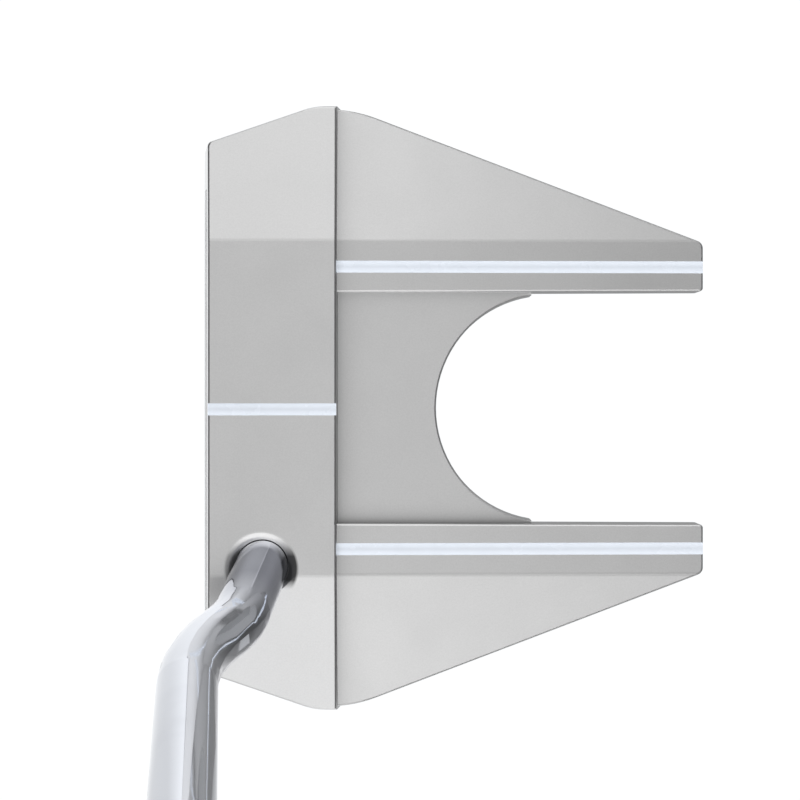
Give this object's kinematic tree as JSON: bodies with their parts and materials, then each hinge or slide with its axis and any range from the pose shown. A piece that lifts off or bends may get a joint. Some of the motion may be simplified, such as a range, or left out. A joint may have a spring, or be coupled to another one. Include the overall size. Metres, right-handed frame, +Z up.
{
  "type": "mallet putter",
  "caption": "Right-handed mallet putter: a satin head with a raised front bar, two rear wings round a U-shaped cut-out, sight lines, a double-bend shaft and a tapered grip.",
  "frame": {"origin": "on the flat of the sole, under the middle of the front bar, on the head's centreline", "axes": "+Z up with the club soled at address, the face looks along -X, +X runs back along the wings, +Y is towards the toe and the shaft leans to -Y"},
  "size_m": [0.0945, 0.3818, 0.816],
  "materials": {
    "head_satin": "satin",
    "insert_elastomer": "matte",
    "bond": "matte",
    "sight_paint": "gloss",
    "plate_steel": "satin",
    "screw_steel": "satin",
    "weight_steel": "satin",
    "washer_rubber": "matte",
    "plug_rubber": "matte",
    "shaft_chrome": "polished",
    "band_film": "gloss",
    "tape": "matte",
    "grip_foam": "matte",
    "grip_rubber": "matte",
    "cap_rubber": "satin"
  },
  "bodies": {
    "root": {"head_body": "head_satin", "face_insert": "insert_elastomer", "insert_adhesive": "bond", "front_sight_line": "sight_paint", "toe_sight_line": "sight_paint", "heel_sight_line": "sight_paint", "sole_plate": "plate_steel", "sole_plate_screws": "screw_steel", "toe_weight": "weight_steel", "heel_weight": "weight_steel", "toe_weight_washer": "washer_rubber", "heel_weight_washer": "washer_rubber", "hosel_epoxy": "bond", "shaft_tip_plug": "plug_rubber", "shaft": "shaft_chrome", "shaft_band": "band_film", "grip_tape": "tape", "grip_underlisting": "grip_foam", "grip_skin": "grip_rubber", "grip_cap": "cap_rubber", "grip_tip_collar": "cap_rubber"}
  },
  "joints": []
}
